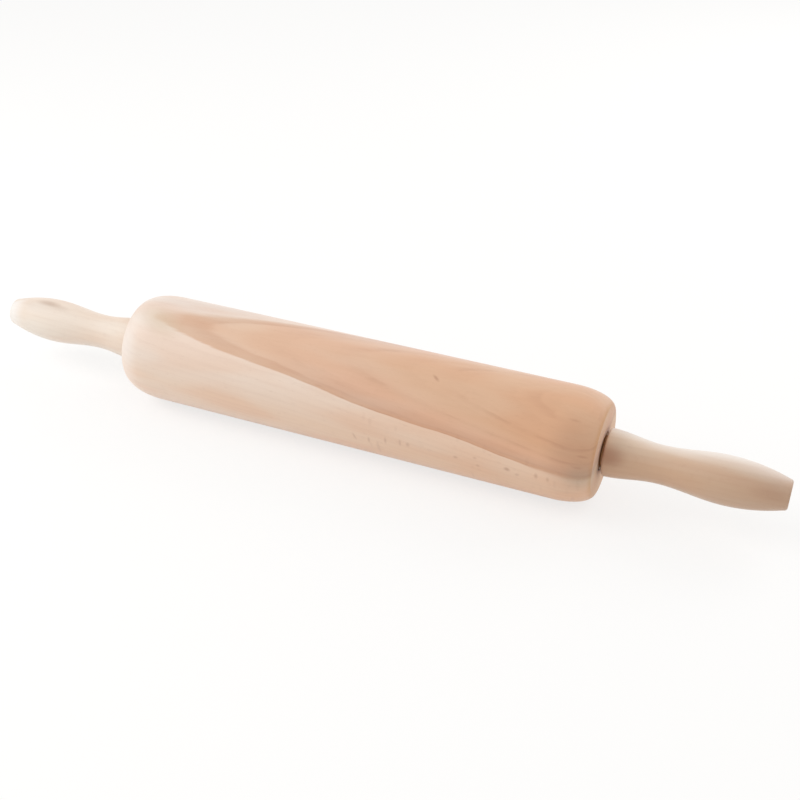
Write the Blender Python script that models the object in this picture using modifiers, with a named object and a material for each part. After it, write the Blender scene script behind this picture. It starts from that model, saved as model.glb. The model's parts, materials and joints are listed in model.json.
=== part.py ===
"""A rolling pin: a beech barrel that turns freely on a steel axle between two turned handles.

The pin lies along X with the middle of its axis at the origin and +Z up. Lengths are in metres.
The barrel runs on a flanged nylon bush at each end. A fibre thrust washer keeps each handle off
the barrel, and the knurled ends of the axle are driven into the blind bores of the handles.
"""

import math

import bmesh
import bpy

# Barrel
BARREL_LENGTH = 0.250
BARREL_DIAMETER = 0.055
SHOULDER_LENGTH = 0.0185
SHOULDER_DROP = 0.0066
BARREL_SEGMENTS = 64
SHOULDER_STEPS = 9

# Axle
AXLE_DIAMETER = 0.008
AXLE_CHAMFER = 0.0007
AXLE_GRIP_LENGTH = 0.050
AXLE_SEGMENTS = 40
KNURL_LENGTH = 0.032
KNURL_FROM_END = 0.004
KNURL_HEIGHT = 0.00025
KNURL_TEETH = 24

# Bushes
BUSH_WALL = 0.0024
BUSH_LENGTH = 0.016
BUSH_FLANGE_RIM = 0.0023
BUSH_FLANGE_THICKNESS = 0.0014
BUSH_PLAIN_NECK = 0.0026
BUSH_BARBS = 4
BUSH_BARB_HEIGHT = 0.0005
BUSH_CHAMFER = 0.0004
BUSH_SEGMENTS = 36

# Thrust washers
WASHER_DIAMETER = 0.0155
WASHER_THICKNESS = 0.0010
WASHER_CHAMFER = 0.00015
WASHER_SEGMENTS = 36

# Handles
HANDLE_LENGTH = 0.0826
COLLAR_DIAMETER = 0.0230
NECK_DIAMETER = 0.0180
NECK_POSITION = 0.0250
GRIP_DIAMETER = 0.0230
GRIP_POSITION = 0.0550
TIP_DIAMETER = 0.0134
COLLAR_EDGE = 0.0009
TIP_EDGE = 0.0016
EDGE_STEPS = 4
BORE_MOUTH_CHAMFER = 0.0005
DRILL_POINT_ANGLE = math.radians(118)
HANDLE_SEGMENTS = 44
HANDLE_STATIONS = 22

# Clearances
SEAT_GAP = 0.0003
RUNNING_GAP = 0.0001
END_FLOAT = 0.0003
BARREL_BORE_GAP = 0.0010
WASHER_BORE_GAP = 0.0002

# Radii and stations that follow from the sizes above
AXLE_RADIUS = AXLE_DIAMETER / 2
KNURL_RADIUS = AXLE_RADIUS + KNURL_HEIGHT
BUSH_BORE = AXLE_RADIUS + RUNNING_GAP
BUSH_SLEEVE = BUSH_BORE + BUSH_WALL
BUSH_CREST = BUSH_SLEEVE + BUSH_BARB_HEIGHT
BUSH_FLANGE = BUSH_SLEEVE + BUSH_FLANGE_RIM
BARREL_END = BARREL_LENGTH / 2
WASHER_AT = BARREL_END + END_FLOAT
HANDLE_AT = WASHER_AT + WASHER_THICKNESS + END_FLOAT
AXLE_END = HANDLE_AT + AXLE_GRIP_LENGTH

# Finishes: name, colour, roughness, metallic
BEECH_BARREL = ("beech_barrel", (0.710, 0.530, 0.400), 0.55, 0.0)
BEECH_HANDLE = ("beech_handle", (0.700, 0.550, 0.430), 0.55, 0.0)
BRIGHT_STEEL = ("bright_steel", (0.560, 0.555, 0.545), 0.28, 1.0)
BROWN_FIBRE = ("brown_fibre", (0.170, 0.070, 0.030), 0.60, 0.0)
TAN_NYLON = ("tan_nylon", (0.360, 0.170, 0.078), 0.45, 0.0)

QUARTER_TURN = math.radians(90)
SHARP_ANGLE = math.radians(28)
MERGE_DISTANCE = 0.00001


def clear_scene():
    """Removes whatever the scene holds."""
    for obj in list(bpy.data.objects):
        bpy.data.objects.remove(obj, do_unlink=True)


def new_collection(name):
    """A collection linked to the scene."""
    collection = bpy.data.collections.new(name)
    bpy.context.scene.collection.children.link(collection)
    return collection


def material(name, colour, roughness, metallic):
    """A Principled material, made once and shared by the pieces of one finish."""
    if name in bpy.data.materials:
        return bpy.data.materials[name]
    made = bpy.data.materials.new(name)
    made.use_nodes = True
    shader = made.node_tree.nodes["Principled BSDF"]
    shader.inputs["Base Color"].default_value = (*colour, 1.0)
    shader.inputs["Roughness"].default_value = roughness
    shader.inputs["Metallic"].default_value = metallic
    return made


def apply_modifiers(obj):
    """Makes the modifiers' result the object's mesh, smooth on its round sides."""
    outline = obj.data
    depsgraph = bpy.context.evaluated_depsgraph_get()
    solid = bpy.data.meshes.new_from_object(obj.evaluated_get(depsgraph))
    obj.modifiers.clear()
    obj.data = solid
    bpy.data.meshes.remove(outline)
    solid.name = obj.name
    solid.shade_smooth()
    solid.set_sharp_from_angle(angle=SHARP_ANGLE)


def turned(name, profile, segments, finish, collection):
    """A body turned about its local Z from (radius, height) points.

    The points run down the outer side. A profile that starts on the axis also ends on it.
    Any other goes on up the bore and is closed.
    """
    count = len(profile)
    edges = [(point, point + 1) for point in range(count - 1)]
    if profile[0][0] > 0:
        edges.append((count - 1, 0))
    mesh = bpy.data.meshes.new(name)
    mesh.from_pydata([(radius, 0.0, height) for radius, height in profile], edges, [])
    mesh.materials.append(material(*finish))
    obj = bpy.data.objects.new(name, mesh)
    collection.objects.link(obj)
    screw = obj.modifiers.new("turning", "SCREW")
    screw.axis = "Z"
    screw.steps = screw.render_steps = segments
    screw.use_merge_vertices = True
    screw.merge_threshold = MERGE_DISTANCE
    apply_modifiers(obj)
    return obj


def place(obj, axis, station, outward, segments):
    """Seats a piece on the pin's axis, facing the left (-1) or right (1) end, a facet down."""
    obj.parent = axis
    obj.location = (0.0, 0.0, station * outward)
    obj.rotation_mode = "ZYX"
    obj.rotation_euler = (0.0, 0.0 if outward > 0 else math.pi, math.pi / segments)


def barrel_profile():
    """Soft shoulders, flat ends, and a bore that steps out for the bushes and their flanges."""
    shoulder = []
    for step in range(SHOULDER_STEPS + 1):
        turn = QUARTER_TURN * step / SHOULDER_STEPS
        radius = BARREL_DIAMETER / 2 - SHOULDER_DROP * (1 - math.sin(turn))
        shoulder.append((radius, BARREL_END - SHOULDER_LENGTH * (1 - math.cos(turn))))
    bore = AXLE_RADIUS + BARREL_BORE_GAP
    seat = BUSH_CREST + SEAT_GAP
    seat_floor = BARREL_END - BUSH_LENGTH - SEAT_GAP
    recess = BUSH_FLANGE + SEAT_GAP
    recess_floor = BARREL_END - BUSH_FLANGE_THICKNESS - SEAT_GAP
    stepped_bore = [
        (bore, seat_floor),
        (seat, seat_floor),
        (seat, recess_floor),
        (recess, recess_floor),
        (recess, BARREL_END),
    ]
    left_shoulder = [(radius, -height) for radius, height in reversed(shoulder)]
    left_bore = [(radius, -height) for radius, height in reversed(stepped_bore)]
    return [*shoulder, *left_shoulder, *left_bore, *stepped_bore]


def bush_profile():
    """A flanged sleeve with saw-tooth barbs, from its outer face at 0 down into the barrel."""
    outer = [
        (BUSH_FLANGE - BUSH_CHAMFER, 0.0),
        (BUSH_FLANGE, -BUSH_CHAMFER),
        (BUSH_FLANGE, -BUSH_FLANGE_THICKNESS),
        (BUSH_SLEEVE, -BUSH_FLANGE_THICKNESS),
    ]
    first_barb = BUSH_FLANGE_THICKNESS + BUSH_PLAIN_NECK
    pitch = (BUSH_LENGTH - first_barb) / BUSH_BARBS
    for barb in range(BUSH_BARBS):
        depth = first_barb + barb * pitch
        outer.append((BUSH_SLEEVE, -depth))
        outer.append((BUSH_CREST, -depth))
    bore = [
        (BUSH_BORE + BUSH_CHAMFER, -BUSH_LENGTH),
        (BUSH_BORE, -BUSH_LENGTH + BUSH_CHAMFER),
        (BUSH_BORE, -BUSH_CHAMFER),
        (BUSH_BORE + BUSH_CHAMFER, 0.0),
    ]
    return [*outer, (BUSH_SLEEVE, -BUSH_LENGTH), *bore]


def washer_profile():
    """A flat ring with its outer edges broken, standing on 0."""
    outside = WASHER_DIAMETER / 2
    inside = AXLE_RADIUS + WASHER_BORE_GAP
    return [
        (outside - WASHER_CHAMFER, WASHER_THICKNESS),
        (outside, WASHER_THICKNESS - WASHER_CHAMFER),
        (outside, WASHER_CHAMFER),
        (outside - WASHER_CHAMFER, 0.0),
        (inside, 0.0),
        (inside, WASHER_THICKNESS),
    ]


def swell(start, end, share):
    """A smooth run from one value to another as share goes from 0 to 1, level at both ends."""
    return start + (end - start) * (1 - math.cos(math.pi * share)) / 2


def handle_radius(height):
    """The handle's radius at a height above its inner end: collar, neck, grip, then tip."""
    if height < NECK_POSITION:
        return swell(COLLAR_DIAMETER, NECK_DIAMETER, height / NECK_POSITION) / 2
    if height < GRIP_POSITION:
        share = (height - NECK_POSITION) / (GRIP_POSITION - NECK_POSITION)
        return swell(NECK_DIAMETER, GRIP_DIAMETER, share) / 2
    share = (height - GRIP_POSITION) / (HANDLE_LENGTH - GRIP_POSITION)
    return (GRIP_DIAMETER - (GRIP_DIAMETER - TIP_DIAMETER) * share**2) / 2


def eased_edge(edge, end_height, inward):
    """Points round the edge between an end face and the side, which lies inward (-1 or 1)."""
    points = []
    for step in range(EDGE_STEPS + 1):
        turn = QUARTER_TURN * step / EDGE_STEPS
        height = end_height + inward * edge * (1 - math.cos(turn))
        points.append((handle_radius(height) - edge * (1 - math.sin(turn)), height))
    return points


def handle_profile():
    """The handle's side from the centre of its tip to its collar, then up the blind bore."""
    side = []
    top = HANDLE_LENGTH - TIP_EDGE
    for station in range(1, HANDLE_STATIONS):
        height = top - (top - COLLAR_EDGE) * station / HANDLE_STATIONS
        side.append((handle_radius(height), height))
    bore = KNURL_RADIUS + SEAT_GAP
    bore_depth = AXLE_GRIP_LENGTH + SEAT_GAP
    drill_point = bore / math.tan(DRILL_POINT_ANGLE / 2)
    return [
        (0.0, HANDLE_LENGTH),
        *eased_edge(TIP_EDGE, HANDLE_LENGTH, -1),
        *side,
        *reversed(eased_edge(COLLAR_EDGE, 0.0, 1)),
        (bore + BORE_MOUTH_CHAMFER, 0.0),
        (bore, BORE_MOUTH_CHAMFER),
        (bore, bore_depth),
        (0.0, bore_depth + drill_point),
    ]


def axle_profile():
    """A plain round rod with chamfered ends."""
    return [
        (0.0, AXLE_END),
        (AXLE_RADIUS - AXLE_CHAMFER, AXLE_END),
        (AXLE_RADIUS, AXLE_END - AXLE_CHAMFER),
        (AXLE_RADIUS, -AXLE_END + AXLE_CHAMFER),
        (AXLE_RADIUS - AXLE_CHAMFER, -AXLE_END),
        (0.0, -AXLE_END),
    ]


def knurl(name, axis, station, helpers):
    """A fluted bar whose crests stand proud of the axle and whose roots lie inside it."""
    shape = bmesh.new()
    bmesh.ops.create_cone(
        shape,
        cap_ends=True,
        segments=2 * KNURL_TEETH,
        radius1=KNURL_RADIUS,
        radius2=KNURL_RADIUS,
        depth=KNURL_LENGTH,
    )
    root_share = (AXLE_RADIUS - KNURL_HEIGHT) / KNURL_RADIUS
    half_pitch = math.pi / KNURL_TEETH
    for vertex in shape.verts:
        if round(math.atan2(vertex.co.y, vertex.co.x) / half_pitch) % 2:
            vertex.co.x *= root_share
            vertex.co.y *= root_share
    mesh = bpy.data.meshes.new(name)
    shape.to_mesh(mesh)
    shape.free()
    obj = bpy.data.objects.new(name, mesh)
    obj.parent = axis
    obj.location = (0.0, 0.0, station)
    obj.hide_render = True
    obj.display_type = "WIRE"
    helpers.objects.link(obj)
    return obj


def make_axle(axis, pin, helpers):
    """The steel rod, with a straight knurl raised near each end."""
    rod = turned("axle", axle_profile(), AXLE_SEGMENTS, BRIGHT_STEEL, pin)
    place(rod, axis, 0.0, 1, AXLE_SEGMENTS)
    knurl_at = AXLE_END - KNURL_FROM_END - KNURL_LENGTH / 2
    for side, outward in (("left", -1), ("right", 1)):
        union = rod.modifiers.new(f"{side}_knurl", "BOOLEAN")
        union.operation = "UNION"
        union.solver = "EXACT"
        union.object = knurl(f"{side}_knurl", axis, knurl_at * outward, helpers)


def make_barrel(axis, pin):
    """The turned barrel, bored right through."""
    barrel = turned("barrel", barrel_profile(), BARREL_SEGMENTS, BEECH_BARREL, pin)
    place(barrel, axis, 0.0, 1, BARREL_SEGMENTS)


def make_end(side, outward, axis, pin):
    """What sits on the axle at one end: bush, thrust washer and handle."""
    pieces = (
        ("bush", bush_profile(), BARREL_END, BUSH_SEGMENTS, TAN_NYLON),
        ("washer", washer_profile(), WASHER_AT, WASHER_SEGMENTS, BROWN_FIBRE),
        ("handle", handle_profile(), HANDLE_AT, HANDLE_SEGMENTS, BEECH_HANDLE),
    )
    for piece, profile, station, segments, finish in pieces:
        obj = turned(f"{side}_{piece}", profile, segments, finish, pin)
        place(obj, axis, station, outward, segments)


def main():
    clear_scene()
    pin = new_collection("rolling_pin")
    helpers = new_collection("knurl_helpers")
    axis = bpy.data.objects.new("pin_axis", None)
    axis.rotation_euler = (0.0, QUARTER_TURN, 0.0)
    pin.objects.link(axis)
    make_axle(axis, pin, helpers)
    make_barrel(axis, pin)
    make_end("left", -1, axis, pin)
    make_end("right", 1, axis, pin)


main()
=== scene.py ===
"""Dresses a rolling pin: beech barrel and handles, nylon bushes, fibre washers, steel axle.

Every piece is turned about the pin's axis, which lies along X through the origin, with +Z up.
Meshes are in metres. The figure of the wood is worked out in millimetres: it is a field of growth
rings and rays round the trunk's pith, which the turned surfaces cut, so it runs on round every
shoulder and over every end. The depth of a ring is how far it lies outside the one through the
piece's axis. An angle round the axis is counted from the front, over the top.
"""

import json
import logging
import math
from dataclasses import dataclass
from enum import Enum
from typing import Callable, Mapping, Sequence

import bpy
from bpy.types import ID, Material, Node, NodeSocket, NodeTree, Object
from mathutils import Euler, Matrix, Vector


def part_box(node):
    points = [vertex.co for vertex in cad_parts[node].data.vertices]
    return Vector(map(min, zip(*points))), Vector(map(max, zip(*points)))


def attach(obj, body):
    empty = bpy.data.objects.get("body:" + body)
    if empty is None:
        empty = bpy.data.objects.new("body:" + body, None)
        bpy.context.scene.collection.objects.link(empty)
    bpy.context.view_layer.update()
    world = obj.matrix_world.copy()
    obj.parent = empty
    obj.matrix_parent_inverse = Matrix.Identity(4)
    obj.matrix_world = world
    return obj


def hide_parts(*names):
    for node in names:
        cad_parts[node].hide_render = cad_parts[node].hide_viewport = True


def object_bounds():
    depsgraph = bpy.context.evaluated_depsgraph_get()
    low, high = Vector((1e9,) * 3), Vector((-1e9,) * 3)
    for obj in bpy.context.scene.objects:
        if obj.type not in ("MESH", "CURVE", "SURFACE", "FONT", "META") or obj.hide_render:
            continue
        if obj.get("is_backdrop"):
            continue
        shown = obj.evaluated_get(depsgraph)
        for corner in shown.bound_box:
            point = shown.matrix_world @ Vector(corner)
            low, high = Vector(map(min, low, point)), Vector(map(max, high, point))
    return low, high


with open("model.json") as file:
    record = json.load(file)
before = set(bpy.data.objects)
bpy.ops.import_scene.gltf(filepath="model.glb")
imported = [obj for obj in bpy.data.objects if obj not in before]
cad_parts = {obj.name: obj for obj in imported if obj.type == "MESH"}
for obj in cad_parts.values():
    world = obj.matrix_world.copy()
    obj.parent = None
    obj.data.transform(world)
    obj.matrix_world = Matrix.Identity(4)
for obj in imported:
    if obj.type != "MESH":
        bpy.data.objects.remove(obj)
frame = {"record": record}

LOG = logging.getLogger("rolling_pin")
MM = 0.001
MM_PER_METRE = 1000.0
FULL_TURN = 2.0 * math.pi
MERGE_DISTANCE = 0.000002
SHARP_ANGLE = math.radians(40)

Pair = tuple[float, float]
Tones = tuple[tuple[float, str], ...]
Colour = tuple[float, float, float]
WHITE = "ffffff"


class End(Enum):
    """The two ends of the pin, and which way each points along X."""

    LEFT = -1
    RIGHT = 1

    @property
    def node(self) -> str:
        """The first word of this end's node names."""
        return self.name.lower()


def colour(code: str) -> Colour:
    """Turns a screen colour, as six hexadecimal digits, into the linear one a shader takes."""
    parts = [int(code[start:start + 2], 16) / 255 for start in (0, 2, 4)]
    return tuple(
        part / 12.92 if part <= 0.04045 else ((part + 0.055) / 1.055) ** 2.4 for part in parts
    )


def operator(operation: str, swapped: bool = False) -> Callable[["Field", "Value"], "Field"]:
    """Makes a Field operator that adds a Math node. In a swapped one the field comes second."""

    def apply(self: "Field", other: "Value") -> "Field":
        """Adds the node."""
        values = (other, self) if swapped else (self, other)
        return self.graph.math(operation, *values)

    return apply


class Field:
    """A number that varies over a surface. Python's operators on it add Math nodes."""

    def __init__(self, graph: "Graph", socket: NodeSocket) -> None:
        """Wraps a node's output socket."""
        self.graph = graph
        self.socket = socket

    __add__ = operator("ADD")
    __radd__ = operator("ADD", swapped=True)
    __sub__ = operator("SUBTRACT")
    __rsub__ = operator("SUBTRACT", swapped=True)
    __mul__ = operator("MULTIPLY")
    __truediv__ = operator("DIVIDE")

    def __abs__(self) -> "Field":
        """The size of this without its sign."""
        return self.graph.math("ABSOLUTE", self)


Value = Field | NodeSocket | float | str | Sequence[float]
Inputs = Mapping[str, Value] | None


class Graph:
    """A node tree, for a material or for geometry, whose nodes all come from one method."""

    def __init__(self, tree: NodeTree) -> None:
        """Empties the tree, to build on it."""
        self.tree = tree
        self.tree.nodes.clear()

    def node(self, kind: str, inputs: Inputs = None, **settings: object) -> Node:
        """Adds a node.

        Args:
            kind: The node's type name.
            inputs: Values or links, by the socket's identifier.
            **settings: The node's own properties, set first. stops are a ramp's
                (position, screen colour) pairs.

        Returns:
            The new node.
        """
        made = self.tree.nodes.new(kind)
        stops = settings.pop("stops", ())
        for name, value in settings.items():
            setattr(made, name, value)
        for number, (position, shade) in enumerate(stops):
            elements = made.color_ramp.elements
            stop = elements[number] if number < 2 else elements.new(position)
            stop.position = position
            stop.color = (*colour(shade), 1.0)
        sockets = {socket.identifier: socket for socket in made.inputs}
        for name, value in (inputs or {}).items():
            self.feed(sockets[name], value)
        return made

    def feed(self, socket: NodeSocket, value: Value) -> None:
        """Links a field or a socket to an input, or sets its own value or screen colour."""
        if isinstance(value, Field):
            value = value.socket
        if isinstance(value, NodeSocket):
            self.tree.links.new(value, socket)
        elif socket.type == "RGBA":
            shade = colour(value) if isinstance(value, str) else value
            socket.default_value = (*shade, 1.0)
        else:
            socket.default_value = value

    def field(self, kind: str, output: str, inputs: Inputs = None, **settings: object) -> Field:
        """Adds a node and wraps the output that has this identifier."""
        made = self.node(kind, inputs, **settings)
        sockets = {socket.identifier: socket for socket in made.outputs}
        return Field(self, sockets[output])

    def math(self, operation: str, *values: Value) -> Field:
        """Adds a Math node on one, two or three values."""
        names = ("Value", "Value_001", "Value_002")
        return self.field("ShaderNodeMath", "Value", dict(zip(names, values)), operation=operation)

    def vector(self, x: Value, y: Value, z: Value) -> Field:
        """Joins three numbers into a vector."""
        return self.field("ShaderNodeCombineXYZ", "Vector", {"X": x, "Y": y, "Z": z})

    def parts(self, vector: Value) -> tuple[Field, Field, Field]:
        """Splits a vector into its three numbers."""
        made = self.node("ShaderNodeSeparateXYZ", {"Vector": vector})
        return tuple(Field(self, socket) for socket in made.outputs)

    def seen(self) -> Field:
        """1 for the camera and its reflections, 0 for the light in the room."""
        path = self.node("ShaderNodeLightPath").outputs
        return self.math("MAXIMUM", path["Is Camera Ray"], path["Is Glossy Ray"])


class Shader(Graph):
    """A material's graph, with the few shader nodes that the finishes share."""

    def __init__(self, name: str) -> None:
        """Makes a new material with an empty graph."""
        self.material = bpy.data.materials.new(name)
        self.material.use_nodes = True
        super().__init__(self.material.node_tree)

    def surface(self, output: str) -> tuple[Field, Field, Field]:
        """The "Object" point, in metres, or the outward "Normal", in three parts."""
        return self.parts(self.field("ShaderNodeTexCoord", output))

    def point(self) -> tuple[Field, Field, Field]:
        """The point on the piece, in millimetres."""
        return tuple(part * MM_PER_METRE for part in self.surface("Object"))

    def noise(self, vector: Value, detail: float = 2.0, roughness: float = 0.5) -> Field:
        """Soft noise from about -0.5 to 0.5, one lump per unit of the vector."""
        inputs = {"Vector": vector, "Scale": 1.0, "Detail": detail, "Roughness": roughness}
        return self.field("ShaderNodeTexNoise", "Fac", inputs) - 0.5

    def cloud(self, size: float, detail: float) -> Field:
        """Soft noise on the piece, in round lumps of this size in millimetres."""
        x, y, z = self.point()
        return self.noise(self.vector(x / size, y / size, z / size), detail)

    def span(self, value: Value, start: Value, end: Value, smooth: bool = True) -> Field:
        """Runs from 0 to 1 as value goes from start to end, and stays there."""
        inputs = {"Value": value, "From Min": start, "From Max": end}
        kind = "SMOOTHSTEP" if smooth else "LINEAR"
        return self.field("ShaderNodeMapRange", "Result", inputs, interpolation_type=kind)

    def ramp(self, value: Value, stops: Tones) -> Field:
        """A colour for each value, with stops given in the value's own unit."""
        low, high = stops[0][0], stops[-1][0]
        share = self.span(value, low, high, smooth=False)
        scaled = [((at - low) / (high - low), shade) for at, shade in stops]
        return self.field("ShaderNodeValToRGB", "Color", {"Fac": share}, stops=scaled)

    def mix(self, factor: Value, low: Value, high: Value, blend: str = "MIX") -> Field:
        """Mixes two colours, or blends the second over the first."""
        inputs = {"Factor_Float": factor, "A_Color": low, "B_Color": high}
        return self.field("ShaderNodeMix", "Result_Color", inputs, data_type="RGBA", blend_type=blend)

    def bump(self, height: Value, distance: float, strength: float) -> Field:
        """A normal from a height. distance is in metres for a height of 1."""
        inputs = {"Height": height, "Distance": distance, "Strength": strength}
        return self.field("ShaderNodeBump", "Normal", inputs)

    def finish(self, inputs: Inputs) -> Material:
        """Ends the graph in a Principled shader with these inputs, and returns the material."""
        shader = self.node("ShaderNodeBsdfPrincipled", inputs)
        self.node("ShaderNodeOutputMaterial", {"Surface": shader.outputs["BSDF"]})
        return self.material


@dataclass(frozen=True)
class Blank:
    """How a piece of beech was cut from its trunk. Lengths are in millimetres.

    bark_side is the angle at which the bark lay, in degrees, and spiral how much it turns in
    a millimetre. runout is how far the rings rise in a millimetre, and trunk_bend a radius.
    """

    pith_distance: float
    bark_side: float
    runout: float
    trunk_bend: float = 1.0e6
    spiral: float = 0.0
    seed: float = 0.0


@dataclass(frozen=True)
class Lumps:
    """Soft noise in the wood, by its lumps' length along the grain and width, in millimetres.

    What is drawn from it fades in between the two values in shown.
    """

    along: float
    across: float
    detail: float = 2.0
    shown: Pair = (-0.40, 0.40)


@dataclass(frozen=True)
class Mark:
    """An oval spot in the wood, at a place along the pin and an angle round it: a fleck of figure, or a
    patch of painted shade or painted highlight.

    length, width and radius, which is the surface's distance from the axis there, are in
    millimetres, and tilt is in degrees. strength is how much of the tone shows, or at a swirl
    how many millimetres the rings rise.
    """

    along: float
    angle: float
    length: float
    width: float
    strength: float
    tilt: float = 0.0
    radius: float = 27.5
    tone: str = "8f5238"


@dataclass(frozen=True)
class Year:
    """A growth ring that shows as a line, from a place along the pin. Lengths are in mm.

    nose is the share of its strength that it keeps at the crest of its arch.
    """

    depth: float
    strength: float
    start: float = -200.0
    nose: float = 0.3


@dataclass(frozen=True)
class TanWood:
    """The tan wood past a ring depth. All depths and places are in millimetres.

    tones are its colours by ring depth before the first place in change, far_tones are those
    past the second. It fades in between the two places in fade, and its edge goes soft
    between those in blur.
    """

    depth: float
    tones: Tones
    far_tones: Tones
    change: Pair
    years: tuple[Year, ...]
    edge_strength: float
    fade: Pair
    blur: Pair


@dataclass(frozen=True)
class Beech:
    """Sanded, unvarnished beech, coloured by the depth of its growth rings.

    tones are pairs of ring depth in millimetres and colour, for the pale wood. The colour is
    multiplied by far_tint at the far end of span, by patch_tint in soft patches and by
    end_tint where the cut is square to the grain. dark is the colour of years, fibres, rays
    and pores. Flat rays show as bars past bars_from. swirls raise the rings.
    """

    name: str
    blank: Blank
    tones: Tones
    span: Pair
    far_tint: str = "ffffff"
    patch_tint: str = "fdf4ee"
    end_tint: str = "fdf2e6"
    dark: str = "8f5238"
    tan: TanWood | None = None
    year_width: float = 2.8
    year_strength: float = 0.03
    fibre_strength: float = 0.06
    pore_strength: float = 0.04
    end_strength: float = 0.05
    dash_strength: float = 0.05
    bar_strength: float = 0.12
    bars_from: float = -400.0
    darkest: float = 0.9
    marks: tuple[Mark, ...] = ()
    swirls: tuple[Mark, ...] = ()
    roughness: float = 0.50
    sheen: float = 0.45
    grain_height: float = 0.05 * MM

    def material(self) -> Material:
        """Builds the finish."""
        return Grain(self).build()


class Grain(Shader):
    """The graph of a beech finish, which knows where each point lay in the trunk.

    x, y and z are the point on the piece, ring is the depth of its growth ring, and sweep how
    far round the ring through the piece's axis it is, all in millimetres.
    """

    # The noises that move the rings, and how far.
    WANDER = ((Lumps(90.0, 24.0, 1.0), 0.9), (Lumps(26.0, 5.0), 0.8), (Lumps(7.0, 0.8, 3.0), 0.25))
    # The other noises, and how much some of them count.
    PATCHES = Lumps(55.0, 13.0, detail=1.0, shown=(-0.16, 0.16))
    PATCH_SHARE = 0.8
    FIBRES = Lumps(8.0, 0.30, detail=3.0)
    STREAKS = Lumps(40.0, 1.7)
    STREAK_SHARE = 1.3
    PORES = Lumps(1.6, 0.11, shown=(0.02, 0.20))
    YEAR_BREAKS = Lumps(17.0, 7.0, shown=(-0.10, 0.14))
    EDGE_SPOTS = Lumps(3.2, 0.8, shown=(-0.06, 0.16))
    EDGE_SPOT_SHARE = 0.7
    # Rays: the size of the cells that they stand in, and the share of cells that have none.
    DASHES = (4.2, 6.0, 0.9), 0.40
    BARS = (3.4, 15.0, 3.8), 0.52
    # The two values between which something fades in. Those of SPOT_SIDE are shares of a radius.
    RAY_EDGE = (0.38, 0.18)
    BAR_SWEEP = (19.0, 25.5)
    LATE_WOOD = (0.25, 0.92)
    YEAR_FLANK = (1.5, 8.0)
    TAN_BACK = (0.5, 6.0)
    TAN_LINE_FROM = (-70.0, 10.0)
    END_CUT = (0.55, 0.98)
    SPOT_SIDE = (0.5, 0.7)
    # How far along the piece bars and years take to fade in.
    BAR_FADE = 25.0
    YEAR_FADE = 14.0
    # How far the tan wood's edge reaches to either side where it is crisp, what a softness of 1
    # adds, and its softness far along the piece.
    CRISP_EDGE = (0.15, 0.22)
    SOFT_EDGE = (0.8, 0.5)
    BLUR_SOFTNESS = 2.0
    # How far before a year's end its line starts and is full, and where its shade starts, with
    # the shade's share of the strength. Both stop a little past the end.
    YEAR_LINE = (1.10, 0.10)
    YEAR_SHADE = 1.8
    YEAR_SHADE_SHARE = 0.30
    YEAR_STOP = 0.35
    # How far inside the tan wood the line along its edge starts, and is full.
    TAN_LINE = (0.75, 0.1)
    # The share of a spot's reach that is at full strength.
    SPOT_CORE = 0.10
    # How deep fibres, rays and pores are, by the grain's height, and what changes the roughness.
    FIBRE_DEPTH = 0.4
    RAY_DEPTH = 1.2
    PORE_DEPTH = 0.25
    FIBRE_ROUGHNESS = 0.10
    RAY_SMOOTHNESS = 0.4
    END_ROUGHNESS = 0.08

    def __init__(self, wood: Beech) -> None:
        """Starts the graph with the point's place in the trunk."""
        super().__init__(wood.name)
        self.wood = wood
        self.x, self.y, self.z = self.point()
        self.ring, self.sweep = self.growth()

    def build(self) -> Material:
        """Ends the graph in the beech's shader, and returns the material."""
        wood = self.wood
        patch = self.lumps(self.PATCHES, self.x, self.y, self.z)
        fibre, rays, pores, end = self.fibre(), self.rays(), self.pores(), self.end_grain()
        tone = self.mix(end, self.body_colour(patch), wood.end_tint, "MULTIPLY")
        depth = self.years(patch) + (fibre - 0.5) * wood.fibre_strength + rays
        depth = depth + pores * wood.pore_strength + end * wood.end_strength
        depth = self.math("MINIMUM", self.math("MAXIMUM", depth, 0.0), wood.darkest)
        tone = self.mix(depth, tone, wood.dark)
        # Marks are flecks of figure, and patches of painted shade and painted highlight.
        for mark in wood.marks:
            tone = self.mix(self.spot(mark), tone, mark.tone)
        relief = 0.5 - fibre * self.FIBRE_DEPTH - rays * self.RAY_DEPTH - pores * self.PORE_DEPTH
        rough = wood.roughness + fibre * self.FIBRE_ROUGHNESS
        inputs = {
            "Base Color": tone,
            "Roughness": rough - rays * self.RAY_SMOOTHNESS + end * self.END_ROUGHNESS,
            "IOR": 1.45,
            "Sheen Weight": wood.sheen,
            "Sheen Roughness": 0.40,
            "Normal": self.bump(relief, wood.grain_height, 0.5),
        }
        return self.finish(inputs)

    def lumps(self, lumps: Lumps, *place: Field) -> Field:
        """Soft noise at a place, which is the point's own in the trunk if none is given."""
        x, y, z = place or (self.x, self.ring, self.sweep)
        along = x / lumps.along + self.wood.blank.seed
        return self.noise(self.vector(along, y / lumps.across, z / lumps.across), lumps.detail)

    def drawn(self, lumps: Lumps, *place: Field) -> Field:
        """What a noise draws at a place, 0 to 1."""
        return self.span(self.lumps(lumps, *place), *lumps.shown)

    def growth(self) -> tuple[Field, Field]:
        """The point's ring and sweep."""
        blank = self.wood.blank
        lean = math.radians(blank.bark_side) + self.x * math.radians(blank.spiral)
        sine, cosine = self.math("SINE", lean), self.math("COSINE", lean)
        depth = self.z * sine - self.y * cosine
        depth = depth + self.x * blank.runout + self.x * self.x / (2.0 * blank.trunk_bend)
        for lumps, height in self.WANDER:
            depth = depth + self.lumps(lumps, self.x, self.y, self.z) * height
        depth = depth + blank.pith_distance
        side = self.y * sine + self.z * cosine
        ring = self.math("SQRT", depth * depth + side * side) - blank.pith_distance
        for swirl in self.wood.swirls:
            ring = ring + self.spot(swirl)
        return ring, self.math("ARCTAN2", side, depth) * blank.pith_distance

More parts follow.
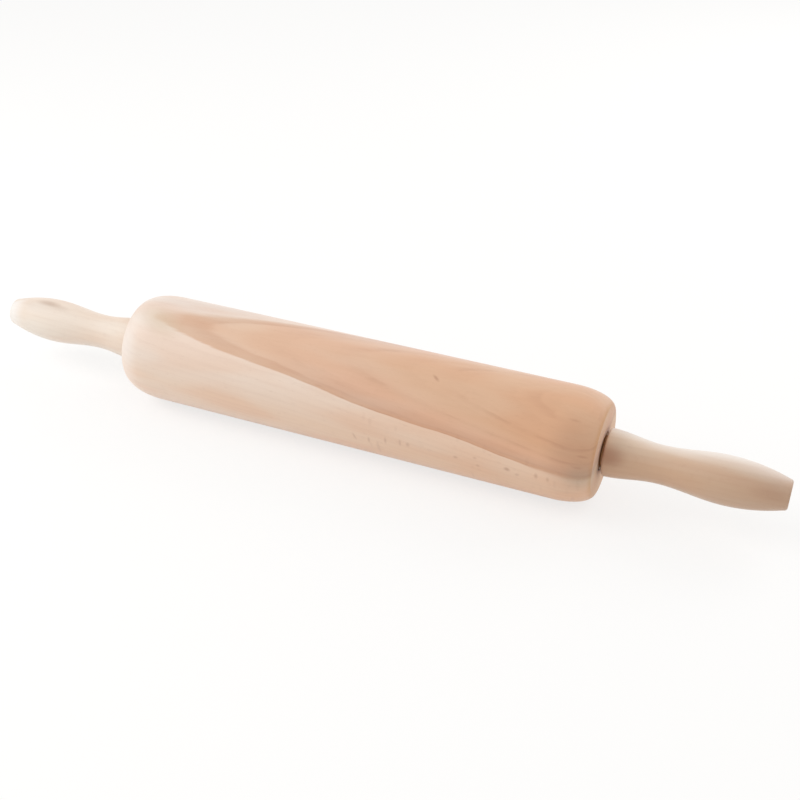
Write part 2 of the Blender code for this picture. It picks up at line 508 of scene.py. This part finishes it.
    def body_colour(self, patch: Field) -> Field:
        """The wood's own colour, before years, fibres, rays and marks."""
        tone = self.ramp(self.ring, self.wood.tones)
        tan = self.wood.tan
        if tan:
            near, far = (self.ramp(self.ring, tones) for tones in (tan.tones, tan.far_tones))
            inner = self.mix(self.span(self.x, *tan.change), near, far)
            tone = self.mix(self.inside(), tone, inner)
        tint = self.span(patch, *self.PATCHES.shown)
        tone = self.mix(tint, tone, self.wood.patch_tint, "MULTIPLY")
        along = self.span(self.x, *self.wood.span, smooth=False)
        return self.mix(along, tone, self.wood.far_tint, "MULTIPLY")

    def inside(self) -> Field:
        """1 in the tan wood, 0 outside. Its edge is crisp in front, soft behind and far along."""
        tan = self.wood.tan
        blurred = self.span(self.x, *tan.blur) * self.BLUR_SOFTNESS
        soft = self.math("MAXIMUM", self.span(self.sweep, *self.TAN_BACK), blurred)
        start = tan.depth - self.CRISP_EDGE[0] - soft * self.SOFT_EDGE[0]
        end = tan.depth + self.CRISP_EDGE[1] + soft * self.SOFT_EDGE[1]
        return self.span(self.ring, start, end) * self.span(self.x, *tan.fade, smooth=False)

    def years(self, patch: Field) -> Field:
        """How dark the growth rings are: each darkens slowly, and ends in a thin line."""
        start, end = self.LATE_WOOD
        phase = self.math("FRACT", self.ring / self.wood.year_width + patch * self.PATCH_SHARE)
        late = self.span(phase, start, end) * self.span(phase, 1.0, end)
        dark = late * self.wood.year_strength
        tan = self.wood.tan
        if not tan:
            return dark
        flank = self.span(abs(self.sweep), *self.YEAR_FLANK)
        shown = self.drawn(self.YEAR_BREAKS, self.x, self.sweep, self.ring)
        for year in tan.years:
            shade = self.span(self.ring, year.depth - self.YEAR_SHADE, year.depth, smooth=False)
            start, end = (year.depth - part for part in self.YEAR_LINE)
            line = self.span(self.ring, start, end) * shown
            past = self.span(self.ring, year.depth + self.YEAR_STOP, year.depth)
            here = self.span(self.x, year.start, year.start + self.YEAR_FADE)
            here = here * (flank * (1.0 - year.nose) + year.nose)
            dark = dark + (shade * self.YEAR_SHADE_SHARE + line) * past * here * year.strength
        start, end = (tan.depth + part for part in self.TAN_LINE)
        spots = self.drawn(self.EDGE_SPOTS) * self.EDGE_SPOT_SHARE + (1.0 - self.EDGE_SPOT_SHARE)
        edge = self.span(self.ring, start, end) * spots
        edge = edge * self.span(self.x, *self.TAN_LINE_FROM) * self.inside()
        return dark + edge * tan.edge_strength

    def fibre(self) -> Field:
        """Fine streaks along the grain, 0 to 1."""
        streaks = self.lumps(self.FIBRES) + self.lumps(self.STREAKS) * self.STREAK_SHARE
        return self.span(streaks, *self.FIBRES.shown, smooth=False)

    def rays(self) -> Field:
        """How dark the medullary rays are.

        A ray is a thin plate along the trunk's radius. Its edge shows as a short dash along
        the grain, and its flat as a bar across it.
        """
        start = self.wood.bars_from
        bars = self.plates(*self.BARS) * self.span(self.x, start, start + self.BAR_FADE)
        bars = bars * self.span(abs(self.sweep), *self.BAR_SWEEP)
        return self.plates(*self.DASHES) * self.wood.dash_strength + bars * self.wood.bar_strength

    def plates(self, size: tuple[float, float, float], rarity: float) -> Field:
        """1 in a thin plate, 0 between, with at most one plate to a cell of this size."""
        seed = self.wood.blank.seed + size[0]
        cell = self.vector(self.x / size[0] + seed, self.ring / size[1], self.sweep / size[2])
        inputs = {"Vector": cell, "Scale": 1.0, "Randomness": 1.0}
        made = self.node("ShaderNodeTexVoronoi", inputs)
        near = self.span(made.outputs["Distance"], *self.RAY_EDGE)
        luck = self.parts(made.outputs["Color"])[0]
        return near * self.span(luck, rarity, 1.0, smooth=False)

    def pores(self) -> Field:
        """The vessels: fine dots on end grain, fine short scratches elsewhere."""
        return self.drawn(self.PORES)

    def end_grain(self) -> Field:
        """1 where the surface is cut square across the grain, 0 along it."""
        return self.span(abs(self.surface("Normal")[0]), *self.END_CUT)

    def spot(self, mark: Mark) -> Field:
        """The strength of a mark or a swirl, fading from its middle."""
        angle, tilt = math.radians(mark.angle), math.radians(mark.tilt)
        along = self.x - mark.along
        across = self.y * math.sin(angle) + self.z * math.cos(angle)
        near = self.z * math.sin(angle) - self.y * math.cos(angle)
        length = (along * math.cos(tilt) + across * math.sin(tilt)) / (mark.length / 2)
        width = (across * math.cos(tilt) - along * math.sin(tilt)) / (mark.width / 2)
        reach = self.math("SQRT", length * length + width * width)
        side = (mark.radius * share for share in self.SPOT_SIDE)
        return self.span(reach, 1.0, self.SPOT_CORE) * mark.strength * self.span(near, *side)


@dataclass(frozen=True)
class Metal:
    """Bright metal with fine turning marks round the axis. Pitch and stains are in mm."""

    name: str
    tone: str
    shadow: str
    roughness: float
    line_pitch: float = 0.09
    line_height: float = 0.02 * MM
    stain_size: float = 2.5

    def material(self) -> Material:
        """Builds the finish."""
        shader = Shader(self.name)
        x, y, z = shader.point()
        radius = shader.math("SQRT", y * y + z * z)
        step = self.line_pitch
        lines = shader.noise(shader.vector(x / step, radius / step, 0.0), 3.0, 0.6)
        stain = shader.cloud(self.stain_size, 3.0)
        shade = shader.span(stain + lines * 0.5, -0.4, 0.4)
        inputs = {
            "Base Color": shader.mix(shade, self.tone, self.shadow),
            "Metallic": 1.0,
            "Roughness": self.roughness + stain * 0.16 + lines * 0.10,
            "Normal": shader.bump(lines, self.line_height, 0.35),
        }
        return shader.finish(inputs)


@dataclass(frozen=True)
class Moulding:
    """Nylon or pressed fibre: a little cloudy, with a fine grain. Their sizes are in mm."""

    name: str
    tone: str
    shadow: str
    roughness: float
    cloud_size: float = 3.0
    grain_size: float = 0.12
    grain_height: float = 0.02 * MM

    def material(self) -> Material:
        """Builds the finish."""
        shader = Shader(self.name)
        cloud, grain = shader.cloud(self.cloud_size, 3.0), shader.cloud(self.grain_size, 2.0)
        shade = shader.span(cloud, -0.25, 0.25)
        inputs = {
            "Base Color": shader.mix(shade, self.tone, self.shadow),
            "Roughness": self.roughness + cloud * 0.12 + grain * 0.06,
            "IOR": 1.53,
            "Normal": shader.bump(grain, self.grain_height, 0.25),
        }
        return shader.finish(inputs)


class Outline:
    """The half section of a turned piece: points along the pin and out from its axis."""

    def __init__(self) -> None:
        """Starts with no points."""
        self.points: list[Pair] = []
        self.fluted: list[bool] = []

    def line(self, *points: Pair, fluted: bool = False) -> "Outline":
        """Runs straight through points, which are crisp corners."""
        self.points.extend(points)
        self.fluted.extend([fluted] * len(points))
        return self

    def quarter(self, start: Pair, end: Pair, steps: int, radial_first: bool) -> "Outline":
        """Adds a quarter of an ellipse.

        Args:
            start: Where it begins.
            end: Where it ends, a quarter turn on.
            steps: How many straight pieces stand for it.
            radial_first: Whether it leaves its start square to the axis, or along it.

        Returns:
            This outline.
        """
        for step in range(steps + 1):
            turn = math.pi / 2 * step / steps
            early, late = math.sin(turn), 1 - math.cos(turn)
            along, out = (late, early) if radial_first else (early, late)
            x = start[0] + (end[0] - start[0]) * along
            self.line((x, start[1] + (end[1] - start[1]) * out))
        return self

    def mirrored(self) -> "Outline":
        """The same outline seen from the other end, run the other way."""
        other = Outline()
        other.points = [(-along, radius) for along, radius in reversed(self.points)]
        other.fluted = self.fluted[::-1]
        return other

    def facing(self, end: End) -> "Outline":
        """This outline of a piece at the right end, mirrored where it is for the left."""
        return self if end is End.RIGHT else self.mirrored()

    def closed(self) -> "Outline":
        """Runs back to the first point, for a piece with a through bore."""
        return self.line(self.points[0])


class Lathe:
    """The Geometry Nodes tree that turns an outline about the pin's axis."""

    FLUTED = "fluted"
    INPUTS = {
        "Outline": "Geometry",
        "Segments": "Int",
        "Flutes": "Int",
        "Flute Depth": "Float",
        "Finish": "Material",
    }

    def __init__(self) -> None:
        """Builds the tree, with its sizes as named inputs."""
        self.group = bpy.data.node_groups.new("turned_piece", "GeometryNodeTree")
        self.names = {name: self.add(name, "INPUT", kind) for name, kind in self.INPUTS.items()}
        self.output = self.add("Piece", "OUTPUT", "Geometry")
        self.build(Graph(self.group))

    def add(self, name: str, way: str, kind: str) -> str:
        """Adds a named input or output to the tree, and returns its identifier."""
        new_socket = self.group.interface.new_socket
        return new_socket(name, in_out=way, socket_type=f"NodeSocket{kind}").identifier

    def build(self, graph: Graph) -> None:
        """Lays a grid over outline points and angles, and rolls it up round the axis."""
        given = graph.node("NodeGroupInput").outputs
        outline, segments = given["Outline"], Field(graph, given["Segments"])
        count = graph.field("GeometryNodeAttributeDomainSize", "Point Count", {"Geometry": outline})
        around = segments + 1
        grid = graph.node("GeometryNodeMeshGrid", {"Vertices X": count, "Vertices Y": around})
        index = graph.field("GeometryNodeInputIndex", "Index")
        station = graph.math("FLOOR", (index + 0.5) / around)
        turn = (index - station * around) / segments * FULL_TURN
        place = graph.field("GeometryNodeInputPosition", "Position")
        point = self.sampled(graph, outline, station, place, "FLOAT_VECTOR")
        along, radius, _ = graph.parts(point)
        name = {"Name": self.FLUTED}
        flag = graph.field("GeometryNodeInputNamedAttribute", "Attribute", name, data_type="FLOAT")
        fluted = self.sampled(graph, outline, station, flag, "FLOAT")
        wave = 0.5 - graph.math("COSINE", turn * given["Flutes"]) * 0.5
        radius = radius - wave * fluted * given["Flute Depth"]
        forward = radius * graph.math("COSINE", turn)
        rolled = graph.vector(along, forward * -1.0, radius * graph.math("SINE", turn))
        kind = "GeometryNodeStoreNamedAttribute"
        inputs = {"Geometry": grid.outputs["Mesh"], "Name": "UVMap", "Value": grid.outputs["UV Map"]}
        mesh = graph.field(kind, "Geometry", inputs, data_type="FLOAT2", domain="CORNER")
        steps = {
            "GeometryNodeSetPosition": {"Position": rolled},
            "GeometryNodeMergeByDistance": {"Distance": MERGE_DISTANCE},
            "GeometryNodeRealizeInstances": {},
            "GeometryNodeSetMaterial": {"Material": given["Finish"]},
        }
        for kind, inputs in steps.items():
            mesh = graph.field(kind, "Geometry", {"Geometry": mesh, **inputs})
        graph.node("NodeGroupOutput", {self.output: mesh})

    @staticmethod
    def sampled(graph: Graph, geometry: Value, index: Value, value: Value, kind: str) -> Field:
        """A value of the outline, read at one of its points."""
        inputs = {"Geometry": geometry, "Value": value, "Index": index}
        return graph.field("GeometryNodeSampleIndex", "Value", inputs, data_type=kind, domain="POINT")

    def turn(
        self, name: str, outline: Outline, finish: Material, segments: int,
        flutes: int = 0, flute_depth: float = 0.0,
    ) -> Object:
        """Turns an outline into a plain mesh.

        Args:
            name: The piece's name.
            outline: Its half section, in metres.
            finish: Its material.
            segments: How many facets go round it.
            flutes: How many grooves go round its fluted points.
            flute_depth: How deep the grooves are, in metres.

        Returns:
            The piece, linked to the scene at the origin.
        """
        line = bpy.data.meshes.new(f"{name}_outline")
        points = [(along, radius, 0.0) for along, radius in outline.points]
        line.from_pydata(points, [(at, at + 1) for at in range(len(points) - 1)], [])
        flags = line.attributes.new(self.FLUTED, "FLOAT", "POINT")
        flags.data.foreach_set("value", [float(flag) for flag in outline.fluted])
        piece = placed(name, line)
        modifier = piece.modifiers.new("turning", "NODES")
        modifier.node_group = self.group
        given = {"Segments": segments, "Flutes": flutes, "Flute Depth": flute_depth, "Finish": finish}
        for key, value in given.items():
            modifier[self.names[key]] = value
        depsgraph = bpy.context.evaluated_depsgraph_get()
        mesh = bpy.data.meshes.new_from_object(piece.evaluated_get(depsgraph))
        piece.modifiers.clear()
        piece.data = mesh
        mesh.name = name
        mesh.shade_smooth()
        mesh.set_sharp_from_angle(angle=SHARP_ANGLE)
        bpy.data.meshes.remove(line)
        return piece


def placed(name: str, data: ID) -> Object:
    """Puts an object with this data in the scene, at the origin."""
    made = bpy.data.objects.new(name, data)
    bpy.context.scene.collection.objects.link(made)
    return made


def extent(node: str) -> tuple[float, float, float]:
    """How near the pin's middle a CAD node begins, how far out it ends, and its radius."""
    low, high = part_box(node)
    ends = abs(low[0]), abs(high[0])
    return min(ends), max(ends), (high[2] - low[2]) / 2


def join(piece: Object, node: str, body: str) -> None:
    """Puts a finished piece in the place of a CAD node, on that node's body."""
    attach(piece, body)
    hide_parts(node)
    LOG.info("%s: %d faces, in place of %s", piece.name, len(piece.data.polygons), node)


@dataclass
class Bearings:
    """The axle, with a nylon bush and a fibre washer for each end. Lengths are in metres."""

    lathe: Lathe
    body: str
    barrel_body: str
    bush_bore: float = 4.1 * MM
    bush_sleeve: float = 6.5 * MM
    bush_crest: float = 7.0 * MM
    flange_thickness: float = 1.4 * MM
    plain_neck: float = 2.6 * MM
    barbs: int = 4
    washer_bore: float = 4.2 * MM
    axle_radius: float = 4.0 * MM
    axle_chamfer: float = 0.7 * MM
    knurl_length: float = 32.0 * MM
    knurl_from_end: float = 4.0 * MM
    knurl_teeth: int = 24
    facets_per_tooth: int = 8
    edge: float = 0.2 * MM
    edge_steps: int = 4
    segments: int = 96
    steel: Metal = Metal("bright_steel", "c9c6c0", "8f8c86", roughness=0.26)
    nylon: Moulding = Moulding("tan_nylon", "c4925f", "ae7d52", roughness=0.42)
    fibre: Moulding = Moulding("brown_fibre", "b98656", "a2744f", roughness=0.60)

    def build(self) -> None:
        """Makes and dresses the axle, both bushes and both washers."""
        nylon, fibre = self.nylon.material(), self.fibre.material()
        self.make_axle(self.steel.material())
        for end in End:
            self.make_bush(end, nylon)
            self.make_washer(end, fibre)

    def make_axle(self, finish: Material) -> None:
        """The rod, chamfered, with a straight knurl near each end."""
        _, tip, crest = extent("axle")
        knurl_end = tip - self.knurl_from_end
        knurl_start = knurl_end - self.knurl_length
        half = Outline().line((tip, 0.0), (tip, self.axle_radius - self.axle_chamfer))
        half.line((tip - self.axle_chamfer, self.axle_radius), (knurl_end, self.axle_radius))
        half.line((knurl_end, crest), (knurl_start, crest), fluted=True)
        half.line((knurl_start, self.axle_radius))
        other = half.mirrored()
        half.points += other.points
        half.fluted += other.fluted
        facets, depth = self.knurl_teeth * self.facets_per_tooth, crest - self.axle_radius
        piece = self.lathe.turn("steel_axle", half, finish, facets, self.knurl_teeth, depth)
        join(piece, "axle", self.body)

    def make_bush(self, end: End, finish: Material) -> None:
        """A flanged sleeve with saw-tooth barbs, its outer face flush with the barrel's."""
        inner, face, flange = extent(f"{end.node}_bush")
        outline = self.rounded(face, flange)
        back = face - self.flange_thickness
        outline.line((back, flange), (back, self.bush_sleeve))
        first = self.flange_thickness + self.plain_neck
        pitch = (face - inner - first) / self.barbs
        for barb in range(self.barbs):
            at = face - first - barb * pitch
            outline.line((at, self.bush_sleeve), (at, self.bush_crest))
        outline.line((inner, self.bush_sleeve), (inner, self.bush_bore + self.edge))
        outline.line((inner + self.edge, self.bush_bore), (face - self.edge, self.bush_bore))
        outline.line((face, self.bush_bore + self.edge)).closed()
        name = f"{end.node}_nylon_bush"
        piece = self.lathe.turn(name, outline.facing(end), finish, self.segments)
        join(piece, f"{end.node}_bush", self.barrel_body)

    def make_washer(self, end: End, finish: Material) -> None:
        """A flat ring with rounded outer edges."""
        back, face, radius = extent(f"{end.node}_washer")
        outline = self.rounded(face, radius)
        start, corner = (back + self.edge, radius), (back, radius - self.edge)
        outline.quarter(start, corner, self.edge_steps, radial_first=False)
        outline.line((back, self.washer_bore), (face, self.washer_bore)).closed()
        name = f"{end.node}_thrust_washer"
        piece = self.lathe.turn(name, outline.facing(end), finish, self.segments)
        join(piece, f"{end.node}_washer", self.body)

    def rounded(self, face: float, radius: float) -> Outline:
        """Starts an outline with the rounded edge between its outer face and its rim."""
        start, corner = (face, radius - self.edge), (face - self.edge, radius)
        return Outline().quarter(start, corner, self.edge_steps, radial_first=True)


@dataclass
class Barrel:
    """The barrel: pale beech with a long arch of tan wood along the top. Lengths are in metres."""

    lathe: Lathe
    body: str
    shoulder_length: float = 18.5 * MM
    shoulder_drop: float = 6.6 * MM
    bore: float = 5.0 * MM
    bush_seat: float = 7.3 * MM
    bush_seat_depth: float = 16.3 * MM
    flange_recess: float = 9.1 * MM
    flange_recess_depth: float = 1.7 * MM
    recess_edge: float = 0.3 * MM
    shoulder_steps: int = 28
    straight_steps: int = 24
    segments: int = 256
    wood: Beech = Beech(
        name="beech_barrel_wood",
        blank=Blank(300.0, bark_side=72.0, runout=0.088, trunk_bend=2500.0, spiral=0.037),
        tones=((-14, "e7d0bf"), (4, "e2cdbb"), (11, "e0cfc1"), (20.3, "e3d6cb")),
        span=(-115.0, 115.0),
        far_tint="feead8",
        tan=TanWood(
            depth=20.3,
            tones=((20, "d1b6a0"), (21.9, "d0b098"), (22.15, "d8bba4"), (30, "dabfa7"), (44, "dcbea4")),
            far_tones=((20, "ceae97"), (22, "ceb2a0"), (25, "d8bba7"), (30, "d5b8a0"), (44, "d6bda7")),
            change=(-60.0, 20.0),
            years=(
                Year(22.0, strength=0.05, nose=1.0),
                Year(24.0, strength=0.05),
                Year(27.4, strength=0.10, start=-30.0, nose=0.1),
                Year(32.3, strength=0.12, start=35.0, nose=0.0),
                Year(37.6, strength=0.08, start=70.0, nose=0.9),
            ),
            edge_strength=0.20,
            fade=(-114.0, -92.0),
            blur=(86.0, 114.0),
        ),
        bars_from=0.0,
        bar_strength=0.17,
        end_tint="f4ead2",
        marks=(
            Mark(45, 69, 7, 2.3, 0.36, tilt=-38),
            Mark(-10, 33.5, 9, 1.3, 0.14, tilt=-6),
            # Painted shade over the barrel's right end, which faces away from the key lamp.
            Mark(121, 3, 22, 21, 0.28, radius=25, tone="8c9080"),
            Mark(115, 24, 32, 50, 0.25, radius=27, tone="8c6a5a"),
            Mark(113.5, 58.5, 8, 2, 0.16, radius=27),
            Mark(120.2, 25, 7, 1.8, 0.2, radius=25),
            Mark(119, 12.8, 6, 2, 0.16, radius=25),
            Mark(10, -13.5, 2, 6.5, 0.24, tilt=20),
            Mark(17.6, -13.5, 2, 6, 0.24),
            Mark(26.4, -8.5, 2, 6, 0.24),
            Mark(34, -6.5, 2, 5.5, 0.22),
            Mark(38, -6.5, 3, 4, 0.22),
            Mark(62, -7, 3.6, 2.6, 0.24),
            Mark(71.5, -2, 3, 2.4, 0.18),
            Mark(73, -11, 3, 2.6, 0.18),
            Mark(87.2, -6, 4.4, 3.2, 0.38, tilt=-12),
            Mark(92, -10, 3.4, 2.6, 0.18, tilt=30),
            Mark(101, -5.5, 2.8, 5, 0.28),
            Mark(106.5, -6.5, 2.4, 4.4, 0.2, radius=27),
            # Painted shade along the top of the barrel towards the back, over its left half.
            Mark(-85, 101, 120, 26, 0.11, tilt=12),
            Mark(-104.5, 62.5, 38, 20, 0.3, tilt=-21, radius=27, tone="b6996b"),
            # Painted highlight: a pale rim on the barrel's left shoulder.
            Mark(-121, 10, 20, 56, 0.2, radius=24, tone="f6fbff"),
        ),
        swirls=(
            Mark(-76, 92, 66, 20, -0.65, tilt=12),
            Mark(-106, 68, 18, 7, 0.15, radius=27),
            Mark(108.5, 3, 22, 10, -0.55, radius=27),
            Mark(-31, 37, 44, 14, -0.36),
            Mark(13, 24, 56, 14, 0.4),
            Mark(60, 13, 56, 14, -0.75),
        ),
    )

    def build(self) -> None:
        """Makes and dresses the barrel."""
        finish = self.wood.material()
        piece = self.lathe.turn("beech_barrel", self.outline(), finish, self.segments)
        join(piece, "barrel", self.body)

    def outline(self) -> Outline:
        """The half section: shoulder, straight side, shoulder, and back through the bore."""
        _, face, radius = extent("barrel")
        half = Outline().line((face, self.flange_recess + self.recess_edge))
        straight = face - self.shoulder_length
        rim = (face, radius - self.shoulder_drop)
        half.quarter(rim, (straight, radius), self.shoulder_steps, radial_first=True)
        for step in range(1, self.straight_steps // 2 + 1):
            half.line((straight * (1 - 2 * step / self.straight_steps), radius))
        seat, recess = face - self.bush_seat_depth, face - self.flange_recess_depth
        bore = Outline().line((seat, self.bore), (seat, self.bush_seat))
        bore.line((recess, self.bush_seat), (recess, self.flange_recess))
        bore.line((face - self.recess_edge, self.flange_recess))
        whole = Outline()
        for run in (half, half.mirrored(), bore.mirrored(), bore):
            whole.line(*run.points)
        return whole.closed()


@dataclass
class Handle:
    """A turned handle: collar, waisted neck, grip and flat tip. Lengths are in metres."""

    lathe: Lathe
    body: str
    end: End
    neck_radius: float = 9.0 * MM
    neck_position: float = 25.0 * MM
    grip_radius: float = 11.45 * MM
    grip_position: float = 55.0 * MM
    tip_radius: float = 6.7 * MM
    collar_edge: float = 0.9 * MM
    tip_edge: float = 1.6 * MM
    bore: float = 4.55 * MM
    bore_depth: float = 50.3 * MM
    bore_mouth: float = 0.5 * MM
    drill_point: float = 2.73 * MM
    side_steps: int = 120
    tip_steps: int = 8
    rim_steps: int = 6
    segments: int = 160
    WOODS = {
        End.LEFT: Beech(
            name="beech_left_handle_wood",
            blank=Blank(pith_distance=110.0, bark_side=128.0, runout=0.015, seed=7.0),
            tones=((-12, "e2dbd1"), (0, "e0d8cd"), (12, "e0d7cb")),
            span=(-207.0, -178.0),
            far_tint="fff8f4",
            marks=(
                Mark(-184.5, 82, 20, 6.5, 0.31, radius=11, tone="82552f"),
                Mark(-188, 66, 40, 14, 0.08, radius=11),
                Mark(-177.5, 75, 21, 5.5, 0.16, tilt=-3, radius=11, tone="82552f"),
                # Painted highlights: a pale tip and a pale lower edge on the left handle.
                Mark(-208, 30, 24, 36, 0.38, radius=8, tone="f2faff"),
                Mark(-160, -56, 110, 20, 0.22, radius=10, tone="f2faff"),
            ),
        ),
        End.RIGHT: Beech(
            name="beech_right_handle_wood",
            blank=Blank(pith_distance=70.0, bark_side=125.0, runout=-0.02, seed=19.0),
            # The tones pale towards the top of the handle: partly the wood's own tone, partly a painted
            # highlight along its top.
            tones=(
                (-11.5, "c8ab92"), (-5, "c7aa90"), (0, "cbae95"), (5, "d9c2ab"),
                (7.5, "e4d3c1"), (9, "e7dace"), (11.5, "ebe3dc"),
            ),
            span=(160.0, 212.0),
            far_tint="eff0f2",
            year_strength=0.04,
            sheen=0.60,
            marks=(
                # Painted shade: by the collar, where the barrel shades the handle, and under the grip
                # near the tip.
                Mark(129.5, 25, 20, 14, 0.44, radius=11.5),
                Mark(201, 28, 24, 10, 0.14, radius=9.5),
                # Painted highlights along the top of the right handle.
                Mark(168, 114, 150, 20, 0.26, radius=11, tone="f6fbff"),
                Mark(187, 84, 76, 13, 0.09, radius=11, tone="f6fbff"),
            ),
        ),
    }

    def __post_init__(self) -> None:
        """Measures the CAD handle."""
        self.inner, self.outer, self.collar = extent(f"{self.end.node}_handle")
        self.length = self.outer - self.inner

    def build(self) -> None:
        """Makes and dresses the handle."""
        name = f"{self.end.node}_beech_handle"
        outline, finish = self.outline().facing(self.end), self.WOODS[self.end].material()
        piece = self.lathe.turn(name, outline, finish, self.segments)
        join(piece, f"{self.end.node}_handle", self.body)

    def radius_at(self, height: float) -> float:
        """The radius at a height above the collar's face."""
        if height < self.neck_position:
            return self.swell(self.collar, self.neck_radius, height / self.neck_position)
        if height < self.grip_position:
            run = self.grip_position - self.neck_position
            share = (height - self.neck_position) / run
            return self.swell(self.neck_radius, self.grip_radius, share)
        share = (height - self.grip_position) / (self.length - self.grip_position)
        return self.grip_radius - (self.grip_radius - self.tip_radius) * share**2

    @staticmethod
    def swell(start: float, end: float, share: float) -> float:
        """A smooth run from one value to another, level at both ends."""
        return start + (end - start) * (1 - math.cos(math.pi * share)) / 2

    def outline(self) -> Outline:
        """The half section of the right handle, from the tip's centre to the bore's point."""
        inner, top = self.inner, self.length - self.tip_edge
        shoulder = self.radius_at(top)
        outline = Outline().line((self.outer, 0.0), (self.outer, shoulder / 2))
        edge = (self.outer, shoulder - self.tip_edge)
        outline.quarter(edge, (inner + top, shoulder), self.tip_steps, radial_first=True)
        for step in range(1, self.side_steps):
            height = top - (top - self.collar_edge) * step / self.side_steps
            outline.line((inner + height, self.radius_at(height)))
        rim = self.radius_at(self.collar_edge)
        start, corner = (inner + self.collar_edge, rim), (inner, rim - self.collar_edge)
        outline.quarter(start, corner, self.rim_steps, radial_first=False)
        outline.line((inner, self.bore + self.bore_mouth), (inner + self.bore_mouth, self.bore))
        deep = inner + self.bore_depth
        return outline.line((deep, self.bore), (deep + self.drill_point, 0.0))


@dataclass(frozen=True)
class Lamp:
    """A square lamp: where it stands and its size, in metres, and its power in watts."""

    name: str
    position: tuple[float, float, float]
    size: float
    power: float


@dataclass
class Studio:
    """A white floor, soft light from both sides, and the camera. Lengths are in metres."""

    camera_position: tuple[float, float, float] = (0.2088, -0.4366, 0.3198)
    camera_turn: float = 23.114
    camera_drop: float = 33.857
    lens: float = 52.376
    floor_size: float = 6.0
    floor_tone: Colour = (0.92, 0.90, 0.87)
    floor_glow: float = 0.72
    sky_strength: float = 0.78
    lamps: tuple[Lamp, ...] = (
        Lamp("key", (-0.70, -0.30, 0.62), 0.5, 3.8),
        Lamp("rim", (0.45, 0.66, 0.45), 0.6, 2.2),
    )

    def build(self) -> None:
        """Makes the floor, the world, the lamps and the camera, and sets the view."""
        self.make_floor()
        self.make_sky()
        for lamp in self.lamps:
            self.make_lamp(lamp)
        self.make_camera()
        bpy.context.scene.view_settings.view_transform = "Standard"

    def make_floor(self) -> None:
        """A white floor under the barrel that keeps the pin's shadow."""
        low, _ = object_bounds()
        half = self.floor_size / 2
        corners = [(-half, -half), (half, -half), (half, half), (-half, half)]
        mesh = bpy.data.meshes.new("floor")
        mesh.from_pydata([(x, y, low[2]) for x, y in corners], [], [(0, 1, 2, 3)])
        mesh.materials.append(self.floor_finish())
        floor = placed("floor", mesh)
        floor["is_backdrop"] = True

    def floor_finish(self) -> Material:
        """White paper, brightened for the camera alone."""
        shader = Shader("floor_paper")
        paper = shader.node("ShaderNodeBsdfDiffuse", {"Color": self.floor_tone})
        glow = shader.node("ShaderNodeEmission", {"Color": WHITE, "Strength": 1.0})
        seen = shader.seen() * self.floor_glow
        inputs = {"Fac": seen, "Shader": paper.outputs[0], "Shader_001": glow.outputs[0]}
        mix = shader.node("ShaderNodeMixShader", inputs)
        shader.node("ShaderNodeOutputMaterial", {"Surface": mix.outputs[0]})
        return shader.material

    def make_sky(self) -> None:
        """Even white light from all round, white to the camera."""
        world = bpy.data.worlds.new("white_room")
        world.use_nodes = True
        bpy.context.scene.world = world
        graph = Graph(world.node_tree)
        strength = self.sky_strength + graph.seen() * (1.0 - self.sky_strength)
        sky = graph.node("ShaderNodeBackground", {"Color": WHITE, "Strength": strength})
        graph.node("ShaderNodeOutputWorld", {"Surface": sky.outputs[0]})

    @staticmethod
    def make_lamp(lamp: Lamp) -> None:
        """A soft square lamp that points at the middle of the pin."""
        data = bpy.data.lights.new(lamp.name, "AREA")
        data.shape = "SQUARE"
        data.size = lamp.size
        data.energy = lamp.power
        stand = placed(lamp.name, data)
        stand.location = lamp.position
        stand.rotation_euler = (-Vector(lamp.position)).to_track_quat("-Z", "Y").to_euler()

    def make_camera(self) -> None:
        """The camera at the photograph's viewing angle."""
        data = bpy.data.cameras.new("camera")
        data.lens = self.lens
        data.clip_start = 0.01
        camera = placed("camera", data)
        camera.location = self.camera_position
        tilt = math.radians(90.0 - self.camera_drop)
        camera.rotation_euler = Euler((tilt, 0.0, math.radians(self.camera_turn)))
        bpy.context.scene.camera = camera


def body_with(node: str) -> str:
    """The name of the body that carries a CAD node."""
    bodies = frame["record"]["behaviour"]["bodies"]
    return next(body for body, nodes in bodies.items() if node in nodes)


def main() -> None:
    """Builds the pin and its studio."""
    logging.basicConfig(level=logging.INFO, format="%(name)s: %(message)s")
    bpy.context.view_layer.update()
    axle_body, barrel_body = body_with("axle"), body_with("barrel")
    lathe = Lathe()
    Barrel(lathe, barrel_body).build()
    for end in End:
        Handle(lathe, axle_body, end).build()
    Bearings(lathe, axle_body, barrel_body).build()
    Studio().build()


if __name__ == "__main__":
    main()
